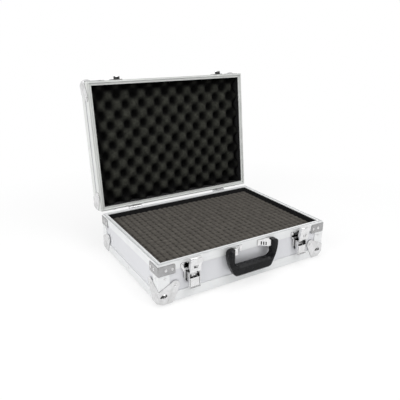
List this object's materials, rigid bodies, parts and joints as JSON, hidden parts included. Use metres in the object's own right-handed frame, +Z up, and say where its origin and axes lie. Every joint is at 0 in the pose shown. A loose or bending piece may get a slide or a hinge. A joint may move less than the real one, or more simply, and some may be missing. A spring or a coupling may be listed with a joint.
{
  "type": "aluminium case",
  "caption": "Hard aluminium-edged case standing open, with a hinged lid, ball corners, draw latches, a swing carry handle, block foam in the base and egg-crate foam in the lid.",
  "frame": {"origin": "middle of the case in plan, on the surface that its four lower ball corners stand on", "axes": "+X to the right along the front, +Y from the front with the latches to the back with the hinges, +Z up"},
  "size_m": [0.4708, 0.4493, 0.4407],
  "materials": {
    "profile_aluminium": "satin anodised extrusion",
    "panel_laminate": "silver laminate on plywood",
    "plated_steel": "bright nickel-plated pressed steel",
    "hinge_steel": "zinc-plated steel",
    "bracket_steel": "zinc-plated strap",
    "handle_plastic": "moulded, slightly grained",
    "foam_grey": "open-cell block foam, scored in a grid",
    "foam_black": "egg-crate foam",
    "lining_black": "black felt"
  },
  "bodies": {
    "base": {"base_bottom_panel": "panel_laminate", "base_front_panel": "panel_laminate", "base_front_rim_profile": "profile_aluminium", "base_front_edge_profile": "profile_aluminium", "base_right_panel": "panel_laminate", "base_right_rim_profile": "profile_aluminium", "base_right_edge_profile": "profile_aluminium", "base_back_panel": "panel_laminate", "base_back_rim_profile": "profile_aluminium", "base_back_edge_profile": "profile_aluminium", "base_left_panel": "panel_laminate", "base_left_rim_profile": "profile_aluminium", "base_left_edge_profile": "profile_aluminium", "base_corner_posts": "profile_aluminium", "base_ball_corners": "plated_steel", "rim_brackets": "plated_steel", "base_foam": "foam_grey", "base_lining": "lining_black", "latch_plates": "plated_steel", "hinge_pins": "hinge_steel", "handle_brackets": "bracket_steel", "base_hinge_leaves": "hinge_steel"},
    "lid": {"lid_top_panel": "panel_laminate", "lid_side_panels": "panel_laminate", "lid_front_rim_profile": "profile_aluminium", "lid_front_edge_profile": "profile_aluminium", "lid_right_rim_profile": "profile_aluminium", "lid_right_edge_profile": "profile_aluminium", "lid_back_rim_profile": "profile_aluminium", "lid_back_edge_profile": "profile_aluminium", "lid_left_rim_profile": "profile_aluminium", "lid_left_edge_profile": "profile_aluminium", "lid_corner_posts": "profile_aluminium", "lid_ball_corners": "plated_steel", "lid_foam": "foam_black", "lid_lining": "lining_black", "left_lid_catch": "plated_steel", "right_lid_catch": "plated_steel", "lid_hinge_leaves": "hinge_steel"},
    "handle": {"carry_handle": "handle_plastic"},
    "left_lever": {"left_latch_lever": "plated_steel"},
    "left_pin": {"left_claw_pin": "hinge_steel"},
    "left_claw": {"left_latch_claw": "plated_steel"},
    "right_lever": {"right_latch_lever": "plated_steel"},
    "right_pin": {"right_claw_pin": "hinge_steel"},
    "right_claw": {"right_latch_claw": "plated_steel"}
  },
  "joints": [
    {"name": "lid_hinge", "type": "hinge", "parent": "base", "child": "lid", "pos_m": [0, 0.169, 0.0987], "axis": [1, 0, 0], "range_deg": [0, 96.3]},
    {"name": "handle_swing", "type": "hinge", "parent": "base", "child": "handle", "pos_m": [0, -0.178, 0.089], "axis": [-1, 0, 0], "range_deg": [0, 100]},
    {"name": "left_lever_lift", "type": "hinge", "parent": "base", "child": "left_lever", "pos_m": [-0.151, -0.172, 0.066], "axis": [-1, 0, 0], "range_deg": [0, 75]},
    {"name": "left_pin_turn", "type": "hinge", "parent": "left_lever", "child": "left_pin", "pos_m": [-0.151, -0.1704, 0.0582], "axis": [-1, 0, 0], "range_deg": [-75, 0]},
    {"name": "left_claw_hook", "type": "hinge", "parent": "left_pin", "child": "left_claw", "pos_m": [-0.151, -0.1704, 0.0582], "axis": [1, 0, 0], "range_deg": [-10, 0]},
    {"name": "right_lever_lift", "type": "hinge", "parent": "base", "child": "right_lever", "pos_m": [0.151, -0.172, 0.066], "axis": [-1, 0, 0], "range_deg": [0, 75]},
    {"name": "right_pin_turn", "type": "hinge", "parent": "right_lever", "child": "right_pin", "pos_m": [0.151, -0.1704, 0.0582], "axis": [-1, 0, 0], "range_deg": [-75, 0]},
    {"name": "right_claw_hook", "type": "hinge", "parent": "right_pin", "child": "right_claw", "pos_m": [0.151, -0.1704, 0.0582], "axis": [1, 0, 0], "range_deg": [-10, 0]}
  ],
  "couplings": [
    {"joint": "left_pin_turn", "follows": "left_lever_lift", "ratio": -1},
    {"joint": "right_pin_turn", "follows": "right_lever_lift", "ratio": -1}
  ]
}
